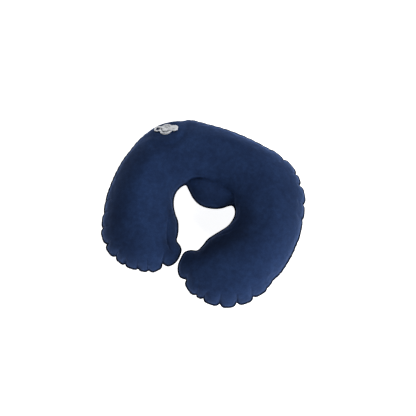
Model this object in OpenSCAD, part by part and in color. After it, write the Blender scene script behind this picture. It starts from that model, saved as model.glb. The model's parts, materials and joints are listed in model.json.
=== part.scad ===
// Inflatable U-shaped neck pillow: two flocked vinyl panels welded round their edge into one
// air-tight bladder, and a soft clear vinyl valve that is let into the upper panel.
// Millimetres, +Z up. The origin is under the middle of the pillow, on the surface it rests on.
// The arms point to -Y, the back of the neck is at +Y, and the valve is on the -X shoulder.

/* [Bladder] */
// Overall width across both arms
pillow_w = 346; // [320:2:372]
// Overall length, from the back to the tips of the arms
pillow_l = 300; // [280:2:320]
// Height of the upper panel above the weld, at the fattest part of an arm
crown_h = 52; // [46:1:58]
// Height of the weld above the resting surface
weld_z = 46; // [40:1:48]
// Width of the flat welded rim
rim_w = 4; // [3:0.5:6]
// Thickness of each flocked vinyl panel
wall = 0.5; // [0.4:0.1:0.8]

/* [Neck rest] */
// Radius of the fold where the neck rest meets the main tube
fold_r = 53; // [50:1:56]
// Height of that fold above the weld
fold_h = 12; // [8:1:16]
// How far the neck rest swells above a straight line from the weld to the fold
rest_h = 18; // [12:1:22]

/* [Valve] */
// Distance of the valve to the left of the middle
valve_left = 117; // [116:1:118]
// Distance of the valve behind the middle
valve_back = 95; // [94:1:97]
// Lean of the valve's axis away from vertical
valve_tilt = 31; // [30:1:34]
// Radius of the raised collar that stands through the panel
collar_r = 12; // [11.5:0.5:12.5]
// Radius of the flange that is welded under the panel
flange_r = 15; // [14:0.5:16]
// Outer radius of the stem
stem_r = 5.2; // [4.8:0.1:5.6]
// Radius of the bore through the stem
bore_r = 3; // [2.7:0.1:3.2]
// Radius of the stopper's head
head_r = 6.4; // [6.2:0.1:6.8]
// Length of the stopper's plug
plug_l = 7; // [5:0.5:8]

/* [Hidden] */
navy = [0.13, 0.19, 0.34];
clear_vinyl = [0.78, 0.81, 0.84];
milky_vinyl = [0.87, 0.89, 0.91];
round_fn = 72;

// ---- Plan of the pillow: its right half, which is mirrored to make the left ------------------
// The tube is cut across at nine stations, from the middle of the back to the end of an arm.
// Each station has a point on the inner edge, on the crown line and on the outer edge.
inner_edge = [
    [0, 4], [24, 10], [44, 26], [55, 17], [57, -2], [48, -21], [35, -38], [25, -56], [20, -71]
];
crown_line = [
    [0, 99], [36, 97], [68, 87], [94, 65], [109, 34], [113, -2], [108, -34], [97, -62], [83, -86]
];
outer_edge = [
    [0, 149], [46, 147.5], [92, 139], [134, 113], [160, 73],
    [172, 24], [173, -24], [165, -68], [149, -101]
];
// The rounded end of the arm, from the inner edge round to the outer edge
arm_end = [
    [7, -79], [3, -95], [9, -112], [27, -127], [51, -142], [80, -151], [108, -143], [131, -125]
];
drawn_w = 346;
drawn_l = 300;
drawn_middle = -1;
// Height of the crown at each station, as a share of crown_h
crown_share = [0.94, 0.95, 0.97, 1, 1, 1, 0.98, 0.95, 0.9];

last_station = len(inner_edge) - 1;
half_edge = concat(inner_edge, arm_end, [for (i = [last_station:-1:0]) outer_edge[i]]);
// Edge points for each control point, and in the whole edge
span_steps = 2;
half_steps = (len(half_edge) - 1) * span_steps;
full_steps = 2 * half_steps;
// Rows of points from the weld to the fold, and from the fold to the crown
rest_rows = 4;
tube_rows = 7;
rows = rest_rows + tube_rows;
columns = rows + 2;
// The fold fades out from the middle of the back to this station.
fold_end = 2.3;
// Where there is no fold, the lower rows take this share of the width.
plain_share = 0.1;

function unit(v) = v / norm(v);
function smooth(x) = let (c = min(max(x, 0), 1)) c * c * (3 - 2 * c);
function mirrored(p) = is_list(p) ? [-p[0], p[1]] : p;
// Catmull-Rom curve between b and c
function curve(a, b, c, d, t) =
    0.5 * (2 * b + (c - a) * t + (2 * a - 5 * b + 4 * c - d) * t * t
    + (3 * b - a - 3 * c + d) * t * t * t);
// Entry k of a list that starts on the plane of symmetry, and either ends on it or stops there
function entry(list, k, closes) =
    let (last = len(list) - 1)
    k < 0 ? mirrored(list[-k]) : k <= last ? list[k] : closes ? mirrored(list[2 * last - k]) : list[last];
function sample(list, u, closes = false) =
    let (k = min(floor(u), len(list) - 2))
    curve(entry(list, k - 1, closes), list[k], list[k + 1], entry(list, k + 2, closes), u - k);
function scaled(p) = [p[0] * pillow_w / drawn_w, (p[1] - drawn_middle) * pillow_l / drawn_l];

// Step i of the edge runs down the right half and back up the left half.
function right_step(i) = i <= half_steps ? i : full_steps - i;
function station(i) =
    let (k = right_step(i)) min(min(k, half_steps - k) / span_steps, last_station);
function placed(i, p) = i <= half_steps ? scaled(p) : mirrored(scaled(p));
function rim_point(i) = placed(i, sample(half_edge, right_step(i) / span_steps, true));
function crown_point(i) = placed(i, sample(crown_line, station(i)));
function crown_rise(i) = (crown_h - wall) * sample(crown_share, station(i));

// How deep the fold is, and how far it lies along the way from the weld to the crown
function fold_depth(i) =
    right_step(i) <= last_station * span_steps ? 1 - smooth(station(i) / fold_end) : 0;
function fold_share(weld, crown) =
    let (a = unit(crown - weld) * weld, square = fold_r * fold_r - weld * weld + a * a)
    max((sqrt(max(square, 0)) - a) / norm(crown - weld), plain_share);

// ---- Skin of the bladder ------------------------------------------------------------------
function dome(share) = sqrt(max(1 - (1 - share) * (1 - share), 0));
function arch(share) = sqrt(max(1 - (2 * share - 1) * (2 * share - 1), 0));
function row_share(j, fold) =
    j <= rest_rows
        ? fold * (1 - cos(180 * j / rest_rows)) / 2
        : 1 - (1 - fold) * cos(90 * (j - rest_rows) / tube_rows);
// Height above the weld of a tube with a fold in it, which turns deeper on the inside of the skin
function folded_rise(share, fold, top, inset) =
    let (low = fold_h - 4 * inset)
    share <= fold
        ? rest_h * arch(share / fold) + low * share / fold
        : low + (top - low) * dome((share - fold) / (1 - fold));

// One point of the skin: inset is 0 on the outside, and the wall's thickness on the inside.
function skin_point(i, j, inset) =
    let (rim = rim_point(i), crown = crown_point(i))
    j < 0 ? [rim[0], rim[1], wall - inset] :
    let (
        weld = rim + unit(crown - rim) * (rim_w + inset),
        depth = fold_depth(i),
        fold = depth > 0 ? fold_share(weld, crown) : plain_share,
        share = row_share(j, fold),
        top = crown_rise(i),
        p = j == rows ? crown : weld + (crown - weld) * share,
        rise = depth * folded_rise(share, fold, top, inset) + (1 - depth) * top * dome(share)
    )
    [p[0], p[1], wall - inset + rise];
function skin(inset) = [for (i = [0:full_steps - 1], j = [-1:rows]) skin_point(i, j, inset)];

function vertex(i, j) = (i % full_steps) * columns + j + 1;
function quad(a, b, c, d) = [[a, b, c], [a, c, d]];
function flipped(tri, shift) = [tri[0] + shift, tri[2] + shift, tri[1] + shift];
function apart(points, a, b) = norm(points[a] - points[b]) > 1e-6;
// A triangle that has shrunk to a line, where rows meet at the end of an arm, is left out.
function whole(points, tri) =
    apart(points, tri[0], tri[1]) && apart(points, tri[1], tri[2]) && apart(points, tri[0], tri[2]);

module shell(outside, inside) {
    n = len(outside);
    points = concat(outside, inside);
    sheet = [
        for (i = [0:full_steps - 1], j = [-1:rows - 1])
            each quad(vertex(i, j), vertex(i + 1, j), vertex(i + 1, j + 1), vertex(i, j + 1))
    ];
    lining = [for (tri = sheet) flipped(tri, n)];
    border = [
        for (i = [0:full_steps - 1])
            each quad(vertex(i + 1, -1), vertex(i, -1), vertex(i, -1) + n, vertex(i + 1, -1) + n)
    ];
    faces = [for (tri = concat(sheet, lining, border)) if (whole(points, tri)) tri];
    polyhedron(points = points, faces = faces);
}

// ---- Seat of the valve: the panel is flat round it, and leans outwards ----------------------
valve_plan = [-valve_left, valve_back];
valve_out = unit(valve_plan);
valve_turn = atan2(valve_out[1], valve_out[0]);
// Height of the seat above the weld, on the valve's axis
seat_h = 36.5;
seat_flat_r = 26;
seat_end_r = 38;
function seated(p, inset) =
    let (
        away = [p[0], p[1]] - valve_plan,
        seat_z = seat_h - inset / cos(valve_tilt) - away * valve_out * tan(valve_tilt),
        w = 1 - smooth((norm(away) - seat_flat_r) / (seat_end_r - seat_flat_r))
    )
    p[2] <= wall ? p : [p[0], p[1], p[2] + (seat_z - p[2]) * w];
function pressed(p, inset) = [p[0], p[1], min(p[2], weld_z - inset)];

module at_valve() {
    translate([-valve_left, valve_back, weld_z + seat_h])
        rotate([0, 0, valve_turn])
            rotate([0, valve_tilt, 0])
                children();
}

module upper_panel() {
    color(navy)
        difference() {
            translate([0, 0, weld_z])
                shell([for (p = skin(0)) seated(p, 0)], [for (p = skin(wall)) seated(p, wall)]);
            at_valve() translate([0, 0, -10]) cylinder(h = 20, r = collar_r + 0.2, $fn = round_fn);
        }
}

module lower_panel() {
    color(navy)
        translate([0, 0, weld_z])
            mirror([0, 0, 1])
                shell([for (p = skin(0)) pressed(p, 0)], [for (p = skin(wall)) pressed(p, wall)]);
}

// ---- Valve: z is measured along its axis, from the outside of the panel ----------------------
collar_wall = 2.5;
well_r = collar_r - collar_wall;
lip_r = 1.2;
lip_z = 1.5;
flange_t = 0.8;
// Thickness of the weld between the panel and the flange
weld_t = 0.1;
flange_z = -wall - weld_t - flange_t;
web_t = 0.6;
// Ends of the stem and of the lip round its mouth
stem_low = -11;
stem_high = 1.4;
stem_lip_r = 6;
stem_lip_t = 1;
// Height at which the web meets the stem, while the stem is pushed in
web_low = -4.6;
// The stopper's head covers the mouth of the stem.
head_low = stem_high;
head_high = 4.1;
plug_gap = 0.06;
plug_hollow_r = 1.6;
dimple_r = 3.2;
dimple_t = 0.8;
flap_t = 0.4;
flap_gap = 0.05;
flap_r = 4.3;
// The tab and the tether lie on opposite sides, clear of the collar's lip.
lobe_turn = -121;
tab_low = 2.9;
tab_gap = 0.3;
tab_start = 9.5;
tab_end = 21.5;
tab_w = 12;
tab_corner = 3;
neck_w = 6;
slot_w = 1.8;
slot_l = 6;
tether_w = 11;
tether_end = 21;
tether_t = 1;
band_w = 2.6;
foot_r = 8;
foot_turn = 30;
foot_angle = 22;

module valve_base() {
    color(clear_vinyl)
        at_valve()
            rotate_extrude($fn = round_fn) {
                translate([well_r, flange_z]) square([flange_r - well_r, flange_t]);
                translate([well_r, flange_z]) square([collar_wall, lip_z - flange_z]);
                translate([well_r + collar_wall / 2, lip_z]) circle(r = lip_r, $fn = 32);
            }
}

module valve_web() {
    color(clear_vinyl)
        at_valve()
            rotate_extrude($fn = round_fn)
                polygon([
                    [well_r, flange_z], [well_r, flange_z + web_t],
                    [stem_r, web_low + web_t], [stem_r, web_low]
                ]);
}

module valve_stem() {
    color(clear_vinyl)
        at_valve()
            difference() {
                union() {
                    translate([0, 0, stem_low])
                        cylinder(h = stem_high - stem_low, r = stem_r, $fn = round_fn);
                    translate([0, 0, stem_high - stem_lip_t])
                        cylinder(h = stem_lip_t, r = stem_lip_r, $fn = round_fn);
                }
                translate([0, 0, stem_low - 1])
                    cylinder(h = stem_high - stem_low + 2, r = bore_r, $fn = round_fn);
            }
}

module check_flap() {
    color(milky_vinyl)
        at_valve()
            translate([0, 0, stem_low - flap_gap - flap_t])
                cylinder(h = flap_t, r = flap_r, $fn = 48);
}

module stopper() {
    plug_low = stem_high - plug_l;
    color(milky_vinyl)
        at_valve()
            difference() {
                union() {
                    translate([0, 0, plug_low])
                        cylinder(h = plug_l, r = bore_r - plug_gap, $fn = round_fn);
                    translate([0, 0, head_low])
                        cylinder(h = head_high - head_low, r = head_r, $fn = round_fn);
                }
                translate([0, 0, head_high - dimple_t]) cylinder(h = 2, r = dimple_r, $fn = 48);
                translate([0, 0, plug_low - 1]) cylinder(h = plug_l, r = plug_hollow_r, $fn = 32);
            }
}

module pull_tab() {
    start = head_r + tab_gap;
    corner_x = tab_end - tab_corner;
    corner_y = tab_w / 2 - tab_corner;
    color(milky_vinyl)
        at_valve()
            rotate([0, 0, lobe_turn])
                translate([0, 0, tab_low])
                    linear_extrude(head_high - tab_low)
                        difference() {
                            union() {
                                translate([0, -neck_w / 2]) square([tab_start + 1, neck_w]);
                                translate([tab_start, -tab_w / 2]) square([corner_x - tab_start, tab_w]);
                                translate([tab_start, -corner_y]) square([tab_end - tab_start, 2 * corner_y]);
                                for (y = [-corner_y, corner_y])
                                    translate([corner_x, y]) circle(r = tab_corner, $fn = 32);
                            }
                            circle(r = start, $fn = round_fn);
                            translate([tab_end - 2 * slot_w - 2, -slot_l / 2]) square([slot_w, slot_l]);
                        }
}

// A flat loop from the stopper's head, with a foot that is fixed to the lip of the stem.
module tether_strap() {
    start = head_r + tab_gap;
    loop_x = tether_end - tether_w / 2;
    foot_low = stem_high - stem_lip_t;
    color(milky_vinyl)
        at_valve()
            rotate([0, 0, lobe_turn + 180]) {
                translate([0, 0, tab_low])
                    linear_extrude(tether_t)
                        difference() {
                            union() {
                                translate([loop_x, 0]) circle(r = tether_w / 2, $fn = 48);
                                translate([0, -tether_w / 2]) square([loop_x, tether_w]);
                            }
                            translate([loop_x, 0]) circle(r = tether_w / 2 - band_w, $fn = 48);
                            translate([0, band_w - tether_w / 2])
                                square([loop_x, tether_w - 2 * band_w]);
                            circle(r = start, $fn = round_fn);
                        }
                rotate([0, 0, foot_turn])
                    rotate_extrude(angle = foot_angle, $fn = round_fn)
                        polygon([
                            [stem_lip_r, foot_low], [foot_r, foot_low], [foot_r, tab_low + tether_t],
                            [start, tab_low + tether_t], [start, head_low], [stem_lip_r, head_low]
                        ]);
            }
}

upper_panel();
lower_panel();
valve_base();
valve_web();
valve_stem();
check_flap();
stopper();
pull_tab();
tether_strap();
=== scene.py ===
"""Inflatable U-shaped neck pillow: a flocked bladder with a puckered rim, and a clear vinyl valve.

Everything is built in metres in the row's frame: +Z up, +Y towards the back of the neck, arms to -Y.
Outlines and small parts are written in millimetres and scaled by MM.
"""

import json
import math

import bmesh
import bpy
import numpy as np
from mathutils import Matrix, Vector
from mathutils.geometry import delaunay_2d_cdt
from mathutils.kdtree import KDTree


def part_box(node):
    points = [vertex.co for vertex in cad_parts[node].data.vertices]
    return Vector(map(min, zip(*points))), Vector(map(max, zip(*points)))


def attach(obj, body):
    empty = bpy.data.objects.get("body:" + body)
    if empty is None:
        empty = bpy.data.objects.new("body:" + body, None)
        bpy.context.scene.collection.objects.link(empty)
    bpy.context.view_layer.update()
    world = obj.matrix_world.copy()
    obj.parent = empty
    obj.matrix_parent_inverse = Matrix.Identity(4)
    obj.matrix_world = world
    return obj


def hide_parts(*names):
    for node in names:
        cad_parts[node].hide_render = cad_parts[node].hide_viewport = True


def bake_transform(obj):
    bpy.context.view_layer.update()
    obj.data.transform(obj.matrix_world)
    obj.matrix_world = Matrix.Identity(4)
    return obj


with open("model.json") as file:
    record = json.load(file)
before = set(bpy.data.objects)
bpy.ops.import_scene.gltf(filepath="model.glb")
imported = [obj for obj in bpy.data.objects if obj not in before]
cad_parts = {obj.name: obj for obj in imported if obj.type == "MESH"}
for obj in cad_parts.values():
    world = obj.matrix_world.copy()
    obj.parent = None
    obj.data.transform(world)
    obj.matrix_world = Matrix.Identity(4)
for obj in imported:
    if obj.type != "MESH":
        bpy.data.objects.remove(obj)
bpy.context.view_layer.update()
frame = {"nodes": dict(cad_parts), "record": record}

MM = 0.001
RANDOM = np.random.default_rng(7)

# ---- Bladder: driving dimensions, in millimetres ----------------------------------------------

WELD_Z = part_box("upper_panel")[0].z / MM  # height of the seam
CROWN = 0.87  # height of the tube as a share of half its width
RIM_WIDTH = 2.6  # flat welded rim outside the seam
SCALLOP_FULLNESS = 4.3  # higher is squarer between the notches
SCALLOP_LIFT = 0.35  # how far a scallop turns up or down, as a share of its bulge
RIPPLE = 0.7  # small waves where the outer seam has no scallops
OUTER_SIDE = 130.0  # the edge is the outer one beyond this distance from the middle
SHEET = 0.5  # thickness of the flocked vinyl
REST_SOFTNESS = 3.0  # how gently the underside bends into its flat resting face

# Mesh of the sheets
SPACING = 1.8  # between points along the seam
LATTICE = 4.0  # between points inside
BAND = 13.0  # depth of the fine band of points inside the seam
BAND_ROWS = 10
BAND_GROWTH = 1.8  # how fast the band's rows draw apart inwards
SEAT_RINGS = (13.4, 15.2, 17.6, 20.4)  # radii of the rings of points round the valve's hole
FOLD_ROWS = (0, -1.1, 1.1, -2.4, 2.4)  # rows of points along and beside every crease
FOLD_STEP = 1.8
LEAST_GAP = 0.8  # between the points of different creases

# Cloth: how it settles under the air's pressure
PRESSURE = 4.0
SLACK = 0.012  # share by which the cloth is larger than its first shape
SETTLE_FRAMES = 20
MOST_MOVE = 8.0  # farthest that any point may move while it settles

# Valve: the point where its axis meets the panel, and the turn that stands +Z along the axis
STEM_TOP = 1.4  # the stem's mouth, above that point
MOUTH = next(mount for mount in frame["record"]["mounts"] if mount["name"] == "valve_mouth")
VALVE_AXIS = Vector(MOUTH["axis"]).normalized()
VALVE = Vector(MOUTH["pos_m"]) / MM - STEM_TOP * VALVE_AXIS
VALVE_LEAN = Matrix.Rotation(math.acos(VALVE_AXIS.z), 3, "Y")
VALVE_TURN = Matrix.Rotation(math.atan2(VALVE_AXIS.y, VALVE_AXIS.x), 3, "Z") @ VALVE_LEAN
TAB_TURN = math.radians(-121)  # direction of the pull tab round the valve; the tether is opposite
VALVE_HOLE = 12.2  # radius of the hole in the upper sheet
SEAT_FLAT = 17.0  # the sheet is flat round the valve as far as this
SEAT_END = 40.0  # and has its own shape again from here
SEAT_CLEAR = 14.0  # it is fully drawn flat only where it stands this high over the weld

# Outer edge of the welded rim seen from above, clockwise from the middle of the back: x, y and how
# far the edge bulges on its way to the next point. Points with a bulge are notches between scallops.
EDGE = [
    # Back and outer side of the right arm
    (0, 151.5, 0), (32, 151, 0), (62, 148.5, 2.5),
    (91, 141, 5.2), (122, 125, 4.3), (136, 109, 6.0), (156, 79.5, 3.3), (165, 54, 2.5),
    (173, 12, 0), (173.5, -8, 0), (171.5, -30, 0), (167.5, -50, 0), (160.5, -66.5, 1.5),
    (157, -82, 4.5), (141, -105.5, 7.5), (119, -127, 8.2), (93, -141, 7), (63, -144, 3.5), (50, -144, 7.5),
    # Inner corner of the right arm
    (23, -127, 0), (12, -128, 0), (4, -121, 0), (-1, -110, 0), (-2, -97, 0), (-0.5, -84.5, 0),
    # Hole
    (7.5, -76.5, 0), (18.5, -72, 0), (23, -62, 0), (27, -46.5, 0), (34, -34.5, 0), (42, -22.5, 0),
    (49.5, -10, 0), (52.5, 3, 0), (52, 14, 0), (48, 22, 0), (42, 25.5, 0), (36, 22, 0), (28, 14.5, 0),
    (18, 8.5, 0), (6, 4.5, 0), (-5, 3, 0), (-16, 4.5, 0), (-28, 10, 0), (-38, 18, 0), (-48, 25.5, 0),
    (-53.5, 20, 0), (-57.5, 9, 0), (-57, -3, 0), (-52, -16, 0), (-43.5, -28, 0), (-33, -39, 0),
    (-26.5, -51, 0), (-23, -61, 0), (-20.5, -71, 0),
    # Inner corner of the left arm
    (-11.5, -76.5, 0), (-6, -82.5, 0), (-4, -92, 0), (-4.5, -102, 0), (-8.5, -112.5, 0), (-16.5, -119.5, 0),
    # Tip and outer side of the left arm, and the back
    (-26.5, -118.5, 7.8), (-43.5, -139.5, 4.2), (-61, -144, 4.8), (-85, -146.5, 4.8), (-105.5, -141, 6.8),
    (-129.5, -128, 5.7), (-148.5, -105.5, 3.2), (-157.5, -81, 1.7), (-165, -60, 1),
    (-169, -42, 0), (-171, -20, 0), (-171.5, 0, 0), (-170, 22, 0), (-166, 42, 0), (-161, 64, 0),
    (-152, 85.5, 0), (-142.5, 97.5, 0), (-131.5, 108.5, 0), (-118.5, 118, 0), (-106, 129, 0),
    (-90.5, 139.5, 0), (-60, 145, 0), (-30, 149.5, 0),
]

# Folds across the blown-up bladder: x, y and how much of the height is left along the fold.
FOLDS = [
    [(-50, 27, 0.7), (-40, 39, 0.5), (-22, 48, 0.4), (0, 51, 0.37), (22, 48, 0.4), (37, 40, 0.5),
     (45, 30, 0.7)],
    [(-53, -28, 0.94), (-46, -50, 0.86), (-38, -70, 0.82), (-31, -82, 0.74), (-21, -92, 0.84)],
]
# Sharp creases pressed into the folds: x, y and depth in millimetres.
CREASES = [
    [(-49, 26, 2.5), (-41, 37, 2.0), (-30, 45, 1.0), (-18, 49, 0)],
    [(44, 28, 2.0), (39, 37, 1.2), (31, 44, 0)],
    [(-50, -36, 0), (-45, -54, 1.8), (-38, -70, 2.6), (-31, -83, 3.6), (-24, -91, 3.2), (-14, -96, 0)],
    [(-27, -116, 3.2), (-28, -108, 2.4), (-31, -98, 0)],
    [(21, -126, 1.8), (22, -117, 1.2), (27, -107, 0)],
]
CREASE_WIDTH = 1.6
NOTCH_CREASE = (9.0, 18.0)  # shortest and longest crease that runs in from a notch
NOTCH_TURN = 0.3  # how far it may turn aside
NOTCH_SUNK = 0.62  # its depth as a share of the smaller bulge beside the notch
NOTCH_BULGES = (1, 6)  # smallest bulge that makes a crease, and the bulge that makes the deepest

# Painted shade and painted highlight in strips, where the slopes turn away from the light or towards it and
# along the folds' valleys: each has its half width, then x, y and the change.
PAINTED_SHADE_STRIPS = [
    (19, [(53, 26, -0.1), (70, 8, -0.3), (72, -18, -0.5), (60, -40, -0.52), (40, -58, -0.48),
          (22, -78, -0.45), (12, -98, -0.3), (12, -115, -0.2)]),
    (24, [(-142, 62, 0), (-156, 10, -0.2), (-151, -40, -0.22), (-134, -88, -0.24), (-108, -124, -0.12)]),
    (16, [(-105, 90, 0), (-113, 20, 0.12), (-108, -30, 0.18), (-95, -70, 0.14), (-85, -100, 0)]),
    (9, [(-100, 125, 0), (-60, 138, 0.18), (0, 144, 0.18), (60, 141, 0.08), (105, 128, 0)]),
    (26, [(80, 110, 0), (125, 85, -0.16), (150, 45, -0.16), (158, 0, -0.1), (155, -30, 0)]),
    (14, [(-36, 24, 0), (-12, 28, -0.16), (12, 28, -0.16), (36, 30, -0.1)]),
    (9, [(-60, 12, 0), (-58, -8, -0.2), (-51, -24, -0.3), (-42, -38, -0.34), (-34, -52, -0.34),
         (-29, -64, -0.3), (-25, -76, -0.2)]),
    (11, [(-42, -60, 0), (-31, -84, -0.34), (-22, -98, -0.34), (-20, -112, -0.1)]),
]


# ---- Plan of the bladder -----------------------------------------------------------------------


def curve(a, b, c, d, t):
    """Catmull-Rom curve from b to c."""
    return 0.5 * (2 * b + (c - a) * t + (2 * a - 5 * b + 4 * c - d) * t * t + (3 * b - a - 3 * c + d) * t**3)


def resampled(line, step, closed=True):
    """Points evenly spaced along a line, with every coordinate carried along."""
    path = np.vstack([line, line[:1]]) if closed else line
    along = np.concatenate([[0], np.cumsum(np.linalg.norm(np.diff(path[:, :2], axis=0), axis=1))])
    count = max(int(round(along[-1] / step)), 2)
    wanted = np.linspace(0, along[-1], count, endpoint=not closed)
    return np.stack([np.interp(wanted, along, path[:, i]) for i in range(path.shape[1])], axis=1)


def outline(points, step):
    """The closed edge as x, y and height, with a scallop wherever the edge bulges."""
    xy = np.array([p[:2] for p in points], float)
    bulge = np.array([p[2] for p in points], float)
    lift = RANDOM.uniform(-SCALLOP_LIFT, SCALLOP_LIFT, len(points))
    t = np.linspace(0, 1, 40, endpoint=False)[:, None]
    arc = 1 - np.abs(2 * t - 1) ** SCALLOP_FULLNESS
    parts = []
    for k, (b, c) in enumerate(zip(xy, np.roll(xy, -1, axis=0))):
        outward = np.array([b[1] - c[1], c[0] - b[0]]) / np.linalg.norm(c - b)
        if bulge[k]:
            flat = b + (c - b) * t + outward * bulge[k] * arc
        else:
            before = b if bulge[k - 1] else xy[k - 1]
            after = c if bulge[(k + 1) % len(xy)] else xy[(k + 2) % len(xy)]
            flat = curve(before, b, c, after, t)
            if min(np.linalg.norm(b), np.linalg.norm(c)) > OUTER_SIDE:
                flat = flat + outward * RIPPLE * np.abs(np.sin(2 * math.pi * t))
        parts.append(np.hstack([flat, bulge[k] * lift[k] * arc]))
    return resampled(np.concatenate(parts), step)


def smoothed(loop, reach):
    """A closed loop averaged along itself over about reach millimetres."""
    sigma = reach / SPACING
    half = int(3 * sigma) + 1
    offsets = np.arange(-half, half + 1)
    weights = np.exp(-0.5 * (offsets / sigma) ** 2)
    weights /= weights.sum()
    return sum(w * np.roll(loop, -k, axis=0) for w, k in zip(weights, offsets))


def inset(loop, depth, reach):
    """A clockwise loop moved inwards in plan by depth, after smoothing over reach."""
    soft = smoothed(loop, reach)
    along = np.roll(soft, -1, axis=0) - np.roll(soft, 1, axis=0)
    inward = np.stack([along[:, 1], -along[:, 0]], axis=1)
    soft[:, :2] += depth * inward / np.linalg.norm(inward, axis=1, keepdims=True)
    return soft


def inside(points, loop):
    """Which points lie inside a closed loop."""
    x, y = points[:, 0:1], points[:, 1:2]
    x0, y0 = loop[:, 0], loop[:, 1]
    x1, y1 = np.roll(x0, -1), np.roll(y0, -1)
    with np.errstate(divide="ignore", invalid="ignore"):
        crossing = ((y0 > y) != (y1 > y)) & (x < (x1 - x0) * (y - y0) / (y1 - y0) + x0)
    return crossing.sum(axis=1) % 2 == 1


def far_from(points, others, gap):
    """The points that are at least gap away from all the others."""
    tree = KDTree(len(others))
    for k, p in enumerate(others):
        tree.insert((p[0], p[1], 0), k)
    tree.balance()
    keep = [tree.find((p[0], p[1], 0))[2] >= gap for p in points]
    return points[np.array(keep, bool)]


def notch_creases(seam):
    """A short fold inwards from every notch between two scallops."""
    smallest, largest = NOTCH_BULGES
    bulge = [p[2] for p in EDGE]
    soft = inset(seam, 10.0, 8.0)[:, :2]
    creases = []
    for k, point in enumerate(EDGE):
        depth = min(bulge[k], bulge[k - 1])
        length = RANDOM.uniform(*NOTCH_CREASE)
        if depth < smallest:
            continue
        start = np.argmin(np.linalg.norm(seam[:, :2] - point[:2], axis=1))
        notch = seam[start, :2]
        inward = soft[start] - notch
        inward /= np.linalg.norm(inward)
        turn = RANDOM.uniform(-NOTCH_TURN, NOTCH_TURN)
        inward = inward + turn * np.array([inward[1], -inward[0]])
        sunk = NOTCH_SUNK * min(depth, largest)
        creases.append([(*(notch + inward * length * t), sunk * (1 - t**1.5)) for t in (0.1, 0.5, 1)])
    return creases


def valve_ring(radius):
    """A circle of 48 points round the valve's axis, in space."""
    angles = [2 * math.pi * k / 48 for k in range(48)]
    circle = [Vector((radius * math.cos(a), radius * math.sin(a), 0)) for a in angles]
    return np.array([VALVE + VALVE_TURN @ point for point in circle])


def beside(line, distance):
    """A line moved sideways in plan."""
    along = np.gradient(line[:, :2], axis=0)
    across = np.stack([along[:, 1], -along[:, 0]], axis=1)
    return line[:, :2] + distance * across / np.linalg.norm(across, axis=1, keepdims=True)


def plan_mesh(seam, hole, creases):
    """Points and triangles inside the seam, and which of the triangles lie inside the valve's hole."""
    # The seam and the valve's hole come first, and stay whole in the triangulation.
    rings = np.vstack([hole] + [valve_ring(radius) for radius in SEAT_RINGS])
    points = np.vstack([seam[:, :2], rings[:, :2]])
    # Rows along every crease and fold
    for offset in FOLD_ROWS:
        drawn = creases if offset else creases + FOLDS
        lines = [resampled(np.array(line, float), FOLD_STEP, closed=False) for line in drawn]
        added = np.vstack([beside(line, offset) for line in lines])
        added = added[inside(added, inset(seam, 1.0, 1.0))]
        points = np.vstack([points, far_from(added, points, LEAST_GAP)])
    # Rows that follow the seam, finest beside it
    for k in range(1, BAND_ROWS + 1):
        share = k / BAND_ROWS
        depth = BAND * share**BAND_GROWTH
        gap = 0.8 * BAND * (share**BAND_GROWTH - (share - 1 / BAND_ROWS) ** BAND_GROWTH)
        spacing = SPACING + (LATTICE - SPACING) * share
        row = resampled(inset(seam, depth, 0.5 + 0.8 * depth), spacing)[:, :2]
        row = row[inside(row, seam)]
        points = np.vstack([points, far_from(row, points, min(gap, 0.6 * spacing))])
    # An even lattice over the rest
    low, high = seam[:, :2].min(axis=0), seam[:, :2].max(axis=0)
    lattice = []
    for j, y in enumerate(np.arange(low[1], high[1], LATTICE * math.sqrt(0.75))):
        lattice += [(x, y) for x in np.arange(low[0] + LATTICE / 2 * (j % 2), high[0], LATTICE)]
    lattice = np.array(lattice)
    lattice = lattice[inside(lattice, inset(seam, BAND, 8.0))]
    points = np.vstack([points, far_from(lattice, points, 0.65 * LATTICE)])
    n = len(seam)
    edges = [(k, (k + 1) % n) for k in range(n)]
    edges += [(n + k, n + (k + 1) % len(hole)) for k in range(len(hole))]
    found, _, triangles, *_ = delaunay_2d_cdt([Vector(p) for p in points], edges, [], 0, 1e-4)
    points = np.array(found)
    triangles = np.array(triangles)
    triangles = triangles[inside(points[triangles].mean(axis=1), seam)]
    return points, triangles, inside(points[triangles].mean(axis=1), hole)


# ---- Blowing it up ------------------------------------------------------------------------------


def stiffness(points, triangles):
    """The membrane's springs, as the two points and the weight of each, and each point's share of area."""
    a, b, c = (points[triangles[:, k], :2] for k in range(3))
    area = 0.5 * np.abs((b[:, 0] - a[:, 0]) * (c[:, 1] - a[:, 1]) - (b[:, 1] - a[:, 1]) * (c[:, 0] - a[:, 0]))
    first, second, weight = [], [], []
    for i, j, k in ((0, 1, 2), (1, 2, 0), (2, 0, 1)):
        at, p, q = (points[triangles[:, n], :2] for n in (i, j, k))
        first.append(triangles[:, j])
        second.append(triangles[:, k])
        weight.append(0.25 * ((p - at) * (q - at)).sum(axis=1) / area)
    share = np.bincount(triangles.ravel(), np.repeat(area / 3, 3), len(points))
    return np.concatenate(first), np.concatenate(second), np.concatenate(weight), share


def membrane(springs, load, fixed, values):
    """Height of a stretched membrane under an even load, held at the fixed points.

    It is solved by conjugate gradients.
    """
    first, second, weight, share = springs
    count = len(share)

    def pull(u):
        tug = weight * (u[first] - u[second])
        return np.bincount(first, tug, count) - np.bincount(second, tug, count)

    height = np.zeros(count)
    height[fixed] = values
    free = np.ones(count)
    free[fixed] = 0
    rest = (load * share - pull(height)) * free
    step = rest.copy()
    energy = rest @ rest
    for _ in range(900):
        tug = pull(step) * free
        size = energy / (step @ tug)
        height += size * step
        rest -= size * tug
        last, energy = energy, rest @ rest
        if energy < 1e-9:
            break
        step = rest + energy / last * step
    return height


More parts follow.
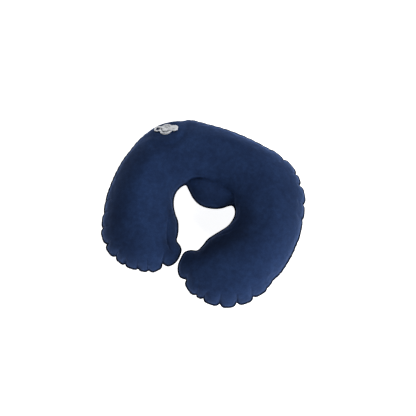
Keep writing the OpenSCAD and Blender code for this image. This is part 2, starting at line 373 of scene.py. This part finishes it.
def nearest_on(points, lines):
    """For each point, how far it is in plan from the nearest line, and the line's third value there."""
    path = np.vstack([resampled(np.array(line, float), 0.5, closed=False) for line in lines])
    tree = KDTree(len(path))
    for k, p in enumerate(path):
        tree.insert((p[0], p[1], 0), k)
    tree.balance()
    found = [tree.find((p[0], p[1], 0)) for p in points]
    return np.array([hit[2] for hit in found]), path[[hit[1] for hit in found], 2]


def blown_up(points, triangles, seam):
    """The weld's level and the bladder's height over it, at every point of the plan.

    Over a long tube a membrane's height is the square of a round section's, so its root is taken.
    """
    springs = stiffness(points, triangles)
    rim = np.arange(len(seam))
    level = membrane(springs, 0, rim, seam[:, 2])
    full = membrane(springs, 2, rim, 0)
    away, left = nearest_on(points, FOLDS)
    folds = np.flatnonzero(away < 0.4)
    folds = folds[folds >= len(rim)]
    held = np.concatenate([rim, folds])
    heights = np.concatenate([np.zeros(len(rim)), full[folds] * left[folds] ** 2])
    folded = membrane(springs, 2, held, heights)
    return level, CROWN * np.sqrt(np.maximum(folded, 0))


def flattened(z):
    """Height over the resting surface after the bladder's weight has pressed its underside flat."""
    return 0.5 * (z + np.sqrt(z * z + REST_SOFTNESS * REST_SOFTNESS)) - 0.5 * REST_SOFTNESS


def seated(points, height):
    """The upper sheet drawn onto the valve's plane round the valve, apart from what is near the weld."""
    to_point = points - np.array(VALVE)
    slope = np.array(VALVE_AXIS.xy) / VALVE_AXIS.z
    level = -(to_point[:, :2] @ slope)
    across = np.hypot(np.linalg.norm(to_point[:, :2], axis=1), level)
    near = np.clip((SEAT_END - across) / (SEAT_END - SEAT_FLAT), 0, 1)
    clear = np.clip(height / SEAT_CLEAR, 0, 1)
    weight = near * near * (3 - 2 * near) * clear * clear * (3 - 2 * clear)
    drawn = points.copy()
    drawn[:, 2] += weight * (level - to_point[:, 2])
    return drawn


def normals_of(points, faces):
    """Area-weighted normals of a triangle mesh's points."""
    normals = np.zeros_like(points)
    corner = points[faces]
    across = np.cross(corner[:, 1] - corner[:, 0], corner[:, 2] - corner[:, 0])
    for k in range(3):
        np.add.at(normals, faces[:, k], across)
    return normals / np.maximum(np.linalg.norm(normals, axis=1, keepdims=True), 1e-9)


def creased(points, faces, plan, creases, rim):
    """The sheet with its sharp creases pressed in; the seam itself stays."""
    away, depth = nearest_on(plan, creases)
    sunk = depth * np.exp(-((away / CREASE_WIDTH) ** 2))
    sunk[:rim] = 0
    return points - sunk[:, None] * normals_of(points, faces)


def painted_shade_and_highlight(plan):
    """How much lighter or darker than 1 the painted shade and painted highlight make the flock over every
    point of the plan.
    """
    shade = np.ones(len(plan))
    for width, strip in PAINTED_SHADE_STRIPS:
        away, change = nearest_on(plan, [strip])
        shade += change * np.exp(-((away / width) ** 2))
    return shade


def shell_mesh(name, outside, faces, loops, grain_and_painted_shade, rim_faces):
    """A closed sheet: the outside, the inside one thickness behind it, and its cut edges.

    The first loop is the cut edge of the welded rim, and rim_faces says which faces are on the rim.
    """
    used = np.unique(faces)
    place = np.zeros(len(outside), int)
    place[used] = np.arange(len(used))
    outside, faces, loops = outside[used], place[faces], [place[loop] for loop in loops]
    count = len(outside)
    points = np.vstack([outside, outside - SHEET * normals_of(outside, faces)])
    quads = []
    for loop in loops:
        following = np.roll(loop, -1)
        quads += np.stack([following, loop, loop + count, following + count], axis=1).tolist()
    mesh = bpy.data.meshes.new(name)
    triangles = faces.tolist() + (faces[:, ::-1] + count).tolist()
    mesh.from_pydata((points * MM).tolist(), [], triangles + quads)
    mesh.update()
    mesh.shade_smooth()
    cut = set()
    for loop in loops:
        for i, j in zip(loop.tolist(), np.roll(loop, -1).tolist()):
            cut.add((min(i, j), max(i, j)))
            cut.add((min(i, j) + count, max(i, j) + count))
    pairs = [tuple(sorted(e.vertices)) for e in mesh.edges]
    hard = [pair in cut for pair in pairs]
    mesh.attributes.new("sharp_edge", "BOOLEAN", "EDGE").data.foreach_set("value", hard)
    # Painted shade and painted highlight per point, which the velvet's colour is multiplied by
    mesh.attributes.new("grain_and_painted_shade", "FLOAT", "POINT").data.foreach_set("value", np.tile(grain_and_painted_shade[used], 2))
    # The rim's faces take the second material, which is partly pressed flock and partly painted shade
    on_rim = np.concatenate([np.tile(rim_faces, 2), np.arange(len(quads)) < len(loops[0])])
    mesh.polygons.foreach_set("material_index", on_rim.astype(np.int32))
    piece = bpy.data.objects.new(name, mesh)
    bpy.context.collection.objects.link(piece)
    return piece


def settled(points, faces, pins):
    """The bladder after its cloth has swelled and wrinkled under the air's pressure."""
    mesh = bpy.data.meshes.new("air")
    mesh.from_pydata((points * MM).tolist(), [], faces.tolist())
    cloth_piece = bpy.data.objects.new("air", mesh)
    bpy.context.collection.objects.link(cloth_piece)
    group = cloth_piece.vertex_groups.new(name="pins")
    for weight in np.unique(pins[pins > 0]):
        group.add(np.flatnonzero(pins == weight).tolist(), float(weight), "REPLACE")
    cloth = cloth_piece.modifiers.new("cloth", "CLOTH")
    cloth.point_cache.frame_start = 1
    cloth.point_cache.frame_end = SETTLE_FRAMES
    rules = cloth.settings
    rules.quality = 5
    rules.mass = 0.2
    rules.air_damping = 2.0
    rules.tension_stiffness = 30
    rules.compression_stiffness = 30
    rules.shear_stiffness = 10
    rules.bending_stiffness = 0.05
    rules.tension_damping = 10
    rules.compression_damping = 10
    rules.shear_damping = 10
    rules.bending_damping = 0.5
    rules.shrink_min = -SLACK
    rules.use_pressure = True
    rules.uniform_pressure_force = PRESSURE
    rules.vertex_group_mass = "pins"
    rules.pin_stiffness = 1.0
    rules.effector_weights.gravity = 0
    cloth.collision_settings.use_collision = False
    scene = bpy.context.scene
    for number in range(1, SETTLE_FRAMES + 1):
        scene.frame_set(number)
    deps = bpy.context.evaluated_depsgraph_get()
    result = cloth_piece.evaluated_get(deps).data
    moved = np.empty(len(points) * 3)
    result.vertices.foreach_get("co", moved)
    moved = moved.reshape(-1, 3) / MM - points
    bpy.data.objects.remove(cloth_piece)
    bpy.data.meshes.remove(mesh)
    scene.frame_set(1)
    length = np.linalg.norm(moved, axis=1, keepdims=True)
    return points + moved * np.minimum(1, MOST_MOVE / np.maximum(length, 1e-6))


def bladder():
    """The upper and the lower sheet, each with its half of the welded rim."""
    edge = outline(EDGE, SPACING)
    seam = inset(edge, RIM_WIDTH, 1.2)
    hole = valve_ring(VALVE_HOLE)
    notches = notch_creases(seam)
    points, triangles, in_hole = plan_mesh(seam, hole, CREASES + notches)
    level, height = blown_up(points, triangles, seam)
    count, rim = len(points), len(seam)
    top = seated(np.hstack([points, (WELD_Z + level + height)[:, None]]), height)
    bottom = np.hstack([points, flattened(WELD_Z + level - height)[:, None]])
    above, below = triangles[~in_hole], triangles[:, ::-1]
    beneath = np.where(np.arange(count) < rim, np.arange(count), np.arange(count) + count - rim)
    everything = np.vstack([top, bottom[rim:]])
    pins = np.zeros(len(everything))
    pins[:count][np.linalg.norm(top - np.array(VALVE), axis=1) < SEAT_FLAT] = 1.0
    pins[:rim] = 1.0
    everything = settled(everything, np.vstack([above, beneath[below]]), pins)
    top, bottom = everything[:count], everything[beneath]
    top = creased(top, above, points, CREASES + notches, rim)
    bottom = creased(bottom, below, points, notches, rim)
    bottom[:, 2] = np.maximum(bottom[:, 2], SHEET)

    rims = np.arange(rim)
    following = np.roll(rims, -1)
    outer = rims + count
    flange = np.vstack([
        np.stack([rims, following, outer], axis=1), np.stack([following, following + count, outer], axis=1)
    ])
    edge_points = edge + top[:rim] - seam
    # Painted shade and painted highlight from the strips over the plan
    grain_and_painted_shade = painted_shade_and_highlight(np.vstack([points, edge[:, :2]]))
    lift = np.array([0, 0, SHEET])
    sheets = []
    for name, sheet, faces, rim_side, loops, shift in (
        ("flocked_upper", top, above, flange, [outer[::-1], np.arange(rim, rim + len(hole))], lift),
        ("flocked_lower", bottom, below, flange[:, ::-1], [outer], -lift),
    ):
        rim_faces = np.concatenate([np.zeros(len(faces), bool), np.ones(len(rim_side), bool)])
        everywhere = np.vstack([sheet, edge_points]) + shift
        all_faces = np.vstack([faces, rim_side])
        sheets.append(shell_mesh(name, everywhere, all_faces, loops, grain_and_painted_shade, rim_faces))
    return sheets


# ---- Materials ------------------------------------------------------------------------------------


class Shader:
    """A material's node tree, with short calls for the nodes used here."""

    def __init__(self, name):
        self.material = bpy.data.materials.new(name)
        self.material.use_nodes = True
        self.tree = self.material.node_tree
        self.surface = self.tree.nodes["Principled BSDF"]
        self.place = self.node("ShaderNodeTexCoord").outputs["Object"]

    def node(self, kind, **settings):
        made = self.tree.nodes.new(kind)
        for name, value in settings.items():
            setattr(made, name, value)
        return made

    def link(self, source, target):
        self.tree.links.new(source, target)

    def set(self, **values):
        for name, value in values.items():
            self.surface.inputs[name.replace("_", " ")].default_value = value

    def noise(self, size_mm, detail=2.0, roughness=0.5, stretch=(1, 1, 1)):
        """Noise whose features are about size_mm across."""
        mapping = self.node("ShaderNodeMapping")
        mapping.inputs["Scale"].default_value = stretch
        self.link(self.place, mapping.inputs["Vector"])
        noise = self.node("ShaderNodeTexNoise")
        noise.inputs["Scale"].default_value = 1 / (size_mm * MM)
        noise.inputs["Detail"].default_value = detail
        noise.inputs["Roughness"].default_value = roughness
        self.link(mapping.outputs["Vector"], noise.inputs["Vector"])
        return noise.outputs["Fac"]

    def ramp(self, factor, *stops):
        """Colours along a factor; each stop is a position and a colour."""
        ramp = self.node("ShaderNodeValToRGB")
        elements = ramp.color_ramp.elements
        while len(elements) < len(stops):
            elements.new(0.5)
        for element, (position, colour) in zip(elements, stops):
            element.position = position
            element.color = (*colour, 1)
        self.link(factor, ramp.inputs["Fac"])
        return ramp.outputs["Color"]

    def times(self, a, b):
        """Two colours multiplied; sockets 6, 7 and 2 are the mix node's colour ones."""
        mix = self.node("ShaderNodeMix", data_type="RGBA", blend_type="MULTIPLY")
        mix.inputs["Factor"].default_value = 1.0
        self.link(a, mix.inputs[6])
        self.link(b, mix.inputs[7])
        return mix.outputs[2]

    def bump(self, height, depth_mm, strength, under=None):
        bump = self.node("ShaderNodeBump")
        bump.inputs["Distance"].default_value = depth_mm * MM
        bump.inputs["Strength"].default_value = strength
        self.link(height, bump.inputs["Height"])
        if under:
            self.link(under, bump.inputs["Normal"])
        return bump.outputs["Normal"]


def velvet_material(name, tone=1.0, sheen=0.25):
    """Short navy flock: a dark matt base, random patches where the pile lies another way, fine grain, painted
    shade and painted highlight from the strips over the plan, and a blue sheen.
    """
    velvet = Shader(name)
    dark = tuple(tone * c for c in (0.0084, 0.0224, 0.071))
    light = tuple(tone * c for c in (0.0130, 0.0326, 0.096))
    patches = velvet.ramp(velvet.noise(45, 3, 0.6), (0.3, dark), (0.7, light))
    strokes = velvet.ramp(velvet.noise(8, 4, 0.65), (0.33, (0.72, 0.74, 0.76)), (0.67, (1.06, 1.06, 1.06)))
    # Fine grain of the flock, its own colour
    grain_and_painted_shade = velvet.ramp(velvet.noise(1.1, 2, 0.6), (0.25, (0.70, 0.72, 0.74)), (0.75, (1.08, 1.08, 1.08)))
    # Painted shade and painted highlight per point, from the strips over the plan
    painted_shade_factor = velvet.node("ShaderNodeAttribute", attribute_name="grain_and_painted_shade").outputs["Fac"]
    colour = velvet.times(velvet.times(velvet.times(patches, strokes), grain_and_painted_shade), painted_shade_factor)
    velvet.link(colour, velvet.surface.inputs["Base Color"])
    velvet.set(Roughness=0.95, Sheen_Weight=sheen, Sheen_Roughness=0.35, Sheen_Tint=(0.22, 0.42, 1.0, 1))
    velvet.surface.inputs["Specular IOR Level"].default_value = 0.15
    uneven = velvet.bump(velvet.noise(14, 2), 0.9, 0.5)
    nap = velvet.bump(velvet.noise(0.9, 3, 0.7), 0.25, 0.6, uneven)
    velvet.link(nap, velvet.surface.inputs["Normal"])
    return velvet.material


# ---- Valve ----------------------------------------------------------------------------------------
# Each piece is drawn in the valve's own millimetres, with +Z out along its axis and +X towards the tab,
# and placed by on_valve. The corners that rounded takes are (radius, height, rounding) for what is
# lathed, and (x, y, rounding) for the tab.


def on_valve(point):
    """A point of the valve's own frame, in metres in the row's frame."""
    return (VALVE + VALVE_TURN @ (Matrix.Rotation(TAB_TURN, 3, "Z") @ Vector(point))) * MM


def piece_from(name, shape, material, body, node):
    """Places a finished bmesh on the valve, gives it its finish, ties it to its body if it has one, and hides
    the imported part that it replaces.
    """
    bmesh.ops.remove_doubles(shape, verts=shape.verts, dist=1e-4)
    for vertex in shape.verts:
        vertex.co = on_valve(vertex.co)
    bmesh.ops.recalc_face_normals(shape, faces=shape.faces)
    mesh = bpy.data.meshes.new(name)
    shape.to_mesh(mesh)
    shape.free()
    mesh.shade_smooth()
    mesh.materials.append(material)
    piece = bpy.data.objects.new(name, mesh)
    bpy.context.collection.objects.link(piece)
    if body:
        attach(piece, body)
    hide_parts(node)
    return piece


def rounded(corners):
    """A polygon in which each corner (x, y, radius) is rounded off in five steps."""
    steps = 5
    points = []
    for k, (x, y, radius) in enumerate(corners):
        corner = Vector((x, y))
        before = (Vector(corners[k - 1][:2]) - corner).normalized()
        after = (Vector(corners[(k + 1) % len(corners)][:2]) - corner).normalized()
        if radius == 0:
            points.append((x, y))
            continue
        half = before.angle(after) / 2
        reach = radius / math.tan(half)
        centre = corner + (before + after).normalized() * (radius / math.sin(half))
        start, end = corner + before * reach - centre, corner + after * reach - centre
        sweep = start.angle_signed(end)
        for j in range(steps + 1):
            turn = Matrix.Rotation(-sweep * j / steps, 2)
            points.append(tuple(centre + turn @ start))
    return points


def lathed(profile, closed=True):
    """A profile of radius and height turned round the axis in 72 steps."""
    shape = bmesh.new()
    vertices = [shape.verts.new((r, 0, z)) for r, z in profile]
    pairs = list(zip(vertices, vertices[1:])) + ([(vertices[-1], vertices[0])] if closed else [])
    edges = [shape.edges.new(pair) for pair in pairs]
    bmesh.ops.spin(
        shape, geom=vertices + edges, cent=(0, 0, 0), axis=(0, 0, 1), angle=2 * math.pi, steps=72,
        use_merge=True,
    )
    return shape


def swept(path, widths, thick):
    """A soft-cornered band along a path, lying flat, with its own width at each point of the path."""
    sides = 12
    shape = bmesh.new()
    rings = []
    for k, point in enumerate(path):
        along = (path[min(k + 1, len(path) - 1)] - path[max(k - 1, 0)]).normalized()
        across = Vector((0, 0, 1)).cross(along).normalized()
        over = along.cross(across)
        ring = []
        for j in range(sides):
            a = 2 * math.pi * (j + 0.5) / sides
            c, t = math.cos(a), math.sin(a)
            u = math.copysign(abs(c) ** 0.5, c) * widths[k] / 2
            v = math.copysign(abs(t) ** 0.5, t) * thick / 2
            ring.append(shape.verts.new(point + u * across + v * over))
        rings.append(ring)
    for one, two in zip(rings, rings[1:]):
        for j in range(sides):
            shape.faces.new((one[j - 1], one[j], two[j], two[j - 1]))
    shape.faces.new(rings[0])
    shape.faces.new(rings[-1][::-1])
    return shape


def collar(material):
    """The ring that is welded under the panel and stands through it with a thick rolled lip."""
    flange = 13.9
    profile = rounded([
        (flange, -0.75, 0.2), (flange, -1.25, 0.2), (9.6, -1.3, 0.3), (9.2, 0.2, 0.5), (8.3, 1.3, 0.6),
        (8.7, 2.6, 0.8), (12.0, 2.9, 1.2), (12.15, 0.3, 0.5), (11.9, -0.52, 0),
    ])
    piece_from("valve_collar", lathed(profile), material, "pillow", "valve_base")


def web(material):
    """The thin skirt between collar and stem, which rolls over when the stem is pulled out."""
    rows = 14
    start = 9.55
    across = 4.3
    drop = 3.9
    over = []
    under = []
    for k in range(rows + 1):
        t = k / rows
        r = start - across * t
        z = -0.9 - drop * (t * t * (3 - 2 * t))
        over.append((r, z))
        under.append((r - 0.12, z - 0.5))
    skirt = lathed(over + under[::-1])
    piece = piece_from("valve_skirt", skirt, material, None, "valve_web")
    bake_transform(piece)


def stem(material):
    """The tube that the stopper plugs and the mouth blows through, with a rolled lip and a rib."""
    bore = 3.0
    tube = 5.2
    rib = 5.5
    lip = 6.0
    profile = rounded([
        (bore, -11.0, 0.25), (5.0, -11.0, 0.5), (tube, -8.6, 0), (rib, -8.2, 0.25), (rib, -7.6, 0.25),
        (tube, -7.2, 0), (tube, 0.1, 0.3), (lip, 0.35, 0.35), (lip, STEM_TOP, 0.45), (3.3, STEM_TOP, 0.3),
        (bore, 0.9, 0.3),
    ])
    piece_from("valve_tube", lathed(profile), material, "stem", "valve_stem")


def stopper(material):
    """A hollow plug with a slight taper under a domed head, which is dished in the middle."""
    plug = 2.92
    head_low = 1.42
    hollow = [(0, -1.0), (1.5, -1.2)]
    outside = rounded([
        (1.5, -5.6, 0.25), (2.7, -5.6, 0.5), (plug, -3.0, 0.3), (plug, head_low, 0.1), (6.1, head_low, 0.3),
        (6.6, 2.3, 0.5), (6.55, 3.9, 0.9), (4.4, 4.25, 0.6), (3.6, 3.6, 0.5),
    ])
    shape = lathed(hollow + outside + [(0, 3.5)], closed=False)
    piece_from("valve_stopper", shape, material, "stopper", "stopper")


def pull_tab(material):
    """The blocky tab that pulls the stopper: a wide root, a slit along one side and a thick, drooping end."""
    side = [(6.95, 4.2, 0.3), (8.6, 5.0, 0.8), (11.0, 6.0, 1.6), (17.5, 6.3, 1.6), (21.6, 3.6, 1.8)]
    plan = rounded([(x, -y, radius) for x, y, radius in side] + side[::-1])
    slit = rounded([(13.0, -3.3, 0.6), (17.2, -3.3, 0.6), (17.2, -1.7, 0.6), (13.0, -1.7, 0.6)])
    plate = bpy.data.curves.new("tab", "CURVE")
    plate.dimensions = "2D"
    plate.fill_mode = "BOTH"
    plate.extrude = 0.38  # half the thickness, without the bevel
    plate.bevel_depth = 0.22
    plate.bevel_resolution = 2
    for loop in (plan, slit):
        spline = plate.splines.new("POLY")
        spline.points.add(len(loop) - 1)
        spline.use_cyclic_u = True
        for point, (x, y) in zip(spline.points, loop):
            point.co = (x, y, 0, 1)
    temporary = bpy.data.objects.new("tab", plate)
    bpy.context.collection.objects.link(temporary)
    deps = bpy.context.evaluated_depsgraph_get()
    made = bpy.data.meshes.new_from_object(temporary.evaluated_get(deps))
    shape = bmesh.new()
    shape.from_mesh(made)
    bpy.data.objects.remove(temporary)
    bpy.data.meshes.remove(made)
    for vertex in shape.verts:
        out = max(vertex.co.x - 9, 0) / 12
        thicker = 1 + 0.55 * out**3
        vertex.co.z = 3.5 + vertex.co.z * thicker - 0.9 * out * out
    piece_from("valve_pull_tab", shape, material, "tab", "pull_tab")


def tether(material):
    """The loop of strap that keeps the stopper with the stem: out on one side, back wider on the other."""
    narrow = 2.8
    wide = 4.0
    path = []
    widths = []
    for x, z in ((-5.2, 0.9), (-6.6, 1.3), (-7.6, 2.2), (-9.2, 3.1), (-12, 3.4)):
        path.append(Vector((x, -3.9 if x < -6 else -3.2, z)))
        widths.append(narrow)
    for k in range(13):
        turn = math.pi * (0.5 + k / 12)
        sag = 0.25 * math.sin(math.pi * k / 12)
        path.append(Vector((-15.6 + 4.6 * math.cos(turn), 0.1 * k - 4.1 * math.sin(turn), 3.35 - sag)))
        widths.append(narrow + 0.1 * k)
    for x, y, z in ((-12, 4.6, 3.4), (-9, 4.0, 3.4), (-7.2, 3.4, 3.3), (-5.6, 2.9, 3.1)):
        path.append(Vector((x, y, z)))
        widths.append(wide)
    strap = swept(path, widths, 1.1)
    piece = piece_from("valve_tether", strap, material, None, "tether_strap")
    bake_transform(piece)


def vinyl_material(name, colour, through, roughness):
    """Soft vinyl: cloudy, a little see-through, with flow marks and fine scuffs from handling."""
    vinyl = Shader(name)
    cloud = vinyl.ramp(vinyl.noise(6, 2), (0.3, tuple(0.86 * c for c in colour)), (0.7, colour))
    vinyl.link(cloud, vinyl.surface.inputs["Base Color"])
    vinyl.set(Roughness=roughness, IOR=1.5, Coat_Weight=0.25, Coat_Roughness=0.2)
    vinyl.surface.inputs["Transmission Weight"].default_value = through
    vinyl.surface.inputs["Specular IOR Level"].default_value = 0.5
    flow = vinyl.bump(vinyl.noise(3.0, 2), 0.12, 0.5)
    scuffs = vinyl.bump(vinyl.noise(0.5, 2, 0.6, (1, 5, 1)), 0.03, 0.5, flow)
    vinyl.link(scuffs, vinyl.surface.inputs["Normal"])
    return vinyl.material


# ---- Putting it together ---------------------------------------------------------------------------

velvet = velvet_material("velvet")
# The welded rim's flock: partly pressed flat with little sheen, and partly darkened to three tenths as
# painted shade along the edge
pressed_velvet_painted_shade = velvet_material("pressed_velvet_painted_shade", 0.3, 0.06)
clear_vinyl = vinyl_material("clear_vinyl", (0.70, 0.72, 0.76), 0.12, 0.28)
milky_vinyl = vinyl_material("milky_vinyl", (0.66, 0.68, 0.71), 0.06, 0.34)

upper, lower = bladder()
for piece, node in ((upper, "upper_panel"), (lower, "lower_panel")):
    piece.data.materials.append(velvet)
    piece.data.materials.append(pressed_velvet_painted_shade)
    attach(piece, "pillow")
    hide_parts(node)

collar(clear_vinyl)
web(clear_vinyl)
stem(clear_vinyl)
stopper(milky_vinyl)
pull_tab(milky_vinyl)
tether(milky_vinyl)
flap = frame["nodes"]["check_flap"]
flap.data.materials.clear()
flap.data.materials.append(milky_vinyl)

# ---- Stage: in metres, with angles given in degrees -----------------------------------------------

FLOOR_REACH = 40.0
FLOOR_DROP = 0.0005  # the floor lies this far under the pillow, so that the two don't share a plane
LIGHT_AWAY = 1.6
VIEW_AZIMUTH = math.radians(24.5)
VIEW_ELEVATION = math.radians(78)
VIEW_AWAY = 1.5
VIEW_HEIGHT = 0.046  # the view's middle is this high, and a little to the right of the pillow's and above it
VIEW_RIGHT = 0.0062
VIEW_UP = 0.0022
LENS = 73.5

# Each light's name, bearing, height, size and power
LIGHTS = [("key", 25, 30, 0.8, 22), ("front", 90, 25, 0.9, 13), ("back", -90, 42, 0.9, 15)]

# The sky is bright up to a little above the horizon and nearly black overhead: height as a share, and grey.
HORIZON = (0.16, 0.8)
OVERHEAD = (0.3, 0.01)


def paper_floor():
    """Plain white paper that reaches the horizon and is nearly fully lit by itself."""
    reach = FLOOR_REACH
    corners = [(-reach, -reach, 0), (reach, -reach, 0), (reach, reach, 0), (-reach, reach, 0)]
    mesh = bpy.data.meshes.new("floor")
    mesh.from_pydata(corners, [], [(0, 1, 2, 3)])
    floor = bpy.data.objects.new("floor", mesh)
    floor.location.z = -FLOOR_DROP
    bpy.context.collection.objects.link(floor)
    paper = Shader("paper")
    paper.set(Base_Color=(0.9, 0.9, 0.9, 1), Roughness=0.9)
    paper.set(Emission_Color=(1, 1, 1, 1), Emission_Strength=0.95)
    mesh.materials.append(paper.material)


def studio_world():
    """A sky that is grey by its height alone."""
    world = bpy.data.worlds.new("studio")
    world.use_nodes = True
    sky = world.node_tree
    place = sky.nodes.new("ShaderNodeTexCoord").outputs["Generated"]
    rise = sky.nodes.new("ShaderNodeSeparateXYZ")
    glow = sky.nodes.new("ShaderNodeValToRGB")
    for element, (position, grey) in zip(glow.color_ramp.elements, (HORIZON, OVERHEAD)):
        element.position = position
        element.color = (grey, grey, grey, 1)
    sky.links.new(place, rise.inputs["Vector"])
    sky.links.new(rise.outputs["Z"], glow.inputs["Fac"])
    sky.links.new(glow.outputs["Color"], sky.nodes["Background"].inputs["Color"])
    bpy.context.scene.world = world


def light(name, bearing, height, size, power):
    """A round soft light aimed at the pillow; its bearing is clockwise from the right of the view."""
    turn = VIEW_AZIMUTH - math.radians(bearing)
    rise = math.radians(height)
    lamp = bpy.data.lights.new(name, "AREA")
    lamp.shape = "DISK"
    lamp.size = size
    lamp.energy = power
    thing = bpy.data.objects.new(name, lamp)
    place = Vector((math.cos(turn) * math.cos(rise), math.sin(turn) * math.cos(rise), math.sin(rise)))
    thing.location = LIGHT_AWAY * place
    thing.rotation_euler = (Vector((0, 0, 0.05)) - thing.location).to_track_quat("-Z", "Y").to_euler()
    bpy.context.collection.objects.link(thing)


def view_camera():
    """The camera, high over the arms' side and a little to the right."""
    flat = math.cos(VIEW_ELEVATION)
    back = Vector((math.sin(VIEW_AZIMUTH) * flat, -math.cos(VIEW_AZIMUTH) * flat, math.sin(VIEW_ELEVATION)))
    right = Vector((math.cos(VIEW_AZIMUTH), math.sin(VIEW_AZIMUTH), 0))
    up = back.cross(right)
    look_at = Vector((0, 0, VIEW_HEIGHT)) + VIEW_RIGHT * right + VIEW_UP * up
    lens = bpy.data.cameras.new("camera")
    lens.lens = LENS
    camera = bpy.data.objects.new("camera", lens)
    camera.location = look_at + VIEW_AWAY * back
    camera.rotation_euler = Matrix((right, up, back)).transposed().to_euler()
    bpy.context.collection.objects.link(camera)
    bpy.context.scene.camera = camera


paper_floor()
studio_world()
for settings in LIGHTS:
    light(*settings)
view_camera()
bpy.context.scene.view_settings.view_transform = "Standard"
